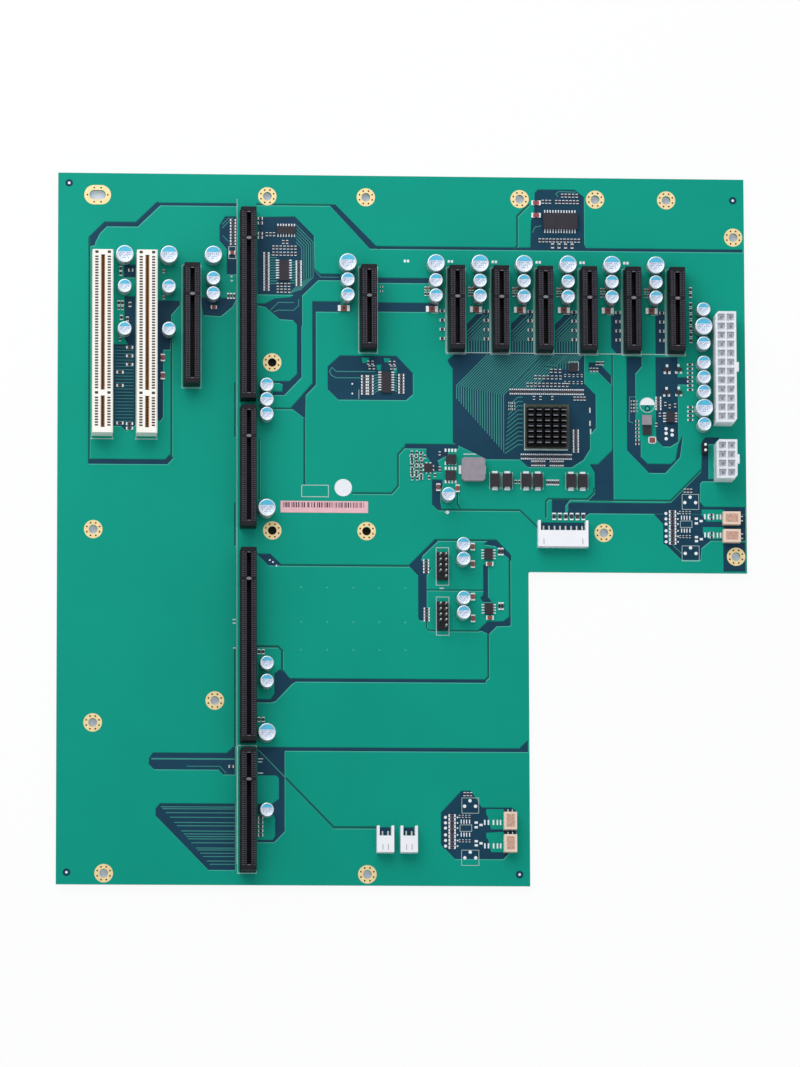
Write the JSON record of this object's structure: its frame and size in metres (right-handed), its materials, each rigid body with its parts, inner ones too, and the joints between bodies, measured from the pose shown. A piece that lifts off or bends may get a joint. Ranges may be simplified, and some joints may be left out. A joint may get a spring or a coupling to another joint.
{
  "type": "passive backplane board",
  "caption": "L-shaped green backplane board with a column of computer sockets, card sockets, power inlets, capacitors and a finned switch chip.",
  "frame": {"origin": "middle of the board's outline, level with the tips of the solder side pins", "axes": "+X towards the power inlets, +Y towards the edge that holds the card brackets, +Z out of the component side"},
  "size_m": [0.317, 0.329, 0.0163],
  "materials": {
    "header_beige": "moulded beige",
    "pin_tin": "tin plated",
    "socket_cream": "moulded cream",
    "chip_ceramic": "fired",
    "lead_tin": "tin plated",
    "board_laminate": "solder mask over copper",
    "socket_black": "moulded black",
    "header_white": "moulded white",
    "chip_moulding": "moulded black",
    "sink_anodised": "black anodised",
    "header_black": "moulded black",
    "can_aluminium": "bright can",
    "label_paper": "printed paper",
    "inlet_nylon": "translucent nylon",
    "choke_ferrite": "pressed ferrite",
    "label_white": "plain paper",
    "chip_substrate": "laminate",
    "tantalum_case": "moulded black"
  },
  "bodies": {
    "root": {"beige_header_1": "header_beige", "beige_header_2": "header_beige", "beige_header_3": "header_beige", "beige_header_4": "header_beige", "beige_header_pins": "pin_tin", "bus_socket_left": "socket_cream", "bus_socket_right": "socket_cream", "chip_capacitors": "chip_ceramic", "chip_leads": "lead_tin", "circuit_board": "board_laminate", "computer_socket_a": "socket_black", "computer_socket_b": "socket_black", "computer_socket_c": "socket_black", "computer_socket_d": "socket_black", "eight_way_header": "header_white", "eight_way_header_pins": "pin_tin", "fine_lead_chips": "chip_moulding", "heat_sink": "sink_anodised", "jumper_header": "header_black", "jumper_header_pins": "pin_tin", "lane_socket_4_1": "socket_black", "lane_socket_4_2": "socket_black", "lane_socket_4_3": "socket_black", "lane_socket_4_4": "socket_black", "lane_socket_4_5": "socket_black", "lane_socket_4_6": "socket_black", "lane_socket_4_7": "socket_black", "lane_socket_8": "socket_black", "large_capacitors": "can_aluminium", "leadless_chips": "chip_moulding", "long_label": "label_paper", "long_power_inlet": "inlet_nylon", "long_power_inlet_pins": "pin_tin", "narrow_chip": "chip_moulding", "pin_header_front": "header_black", "pin_header_front_pins": "pin_tin", "pin_header_rear": "header_black", "pin_header_rear_pins": "pin_tin", "power_choke": "choke_ferrite", "power_transistors": "chip_moulding", "round_label": "label_white", "short_power_inlet": "inlet_nylon", "short_power_inlet_pins": "pin_tin", "small_capacitors": "can_aluminium", "small_chips": "chip_moulding", "small_choke": "choke_ferrite", "small_transistors": "chip_moulding", "switch_chip": "chip_substrate", "tantalum_capacitors": "tantalum_case", "tantalum_terminals": "lead_tin", "two_way_header_left": "header_white", "two_way_header_pins": "pin_tin", "two_way_header_right": "header_white", "wide_chip": "chip_moulding"}
  },
  "joints": []
}
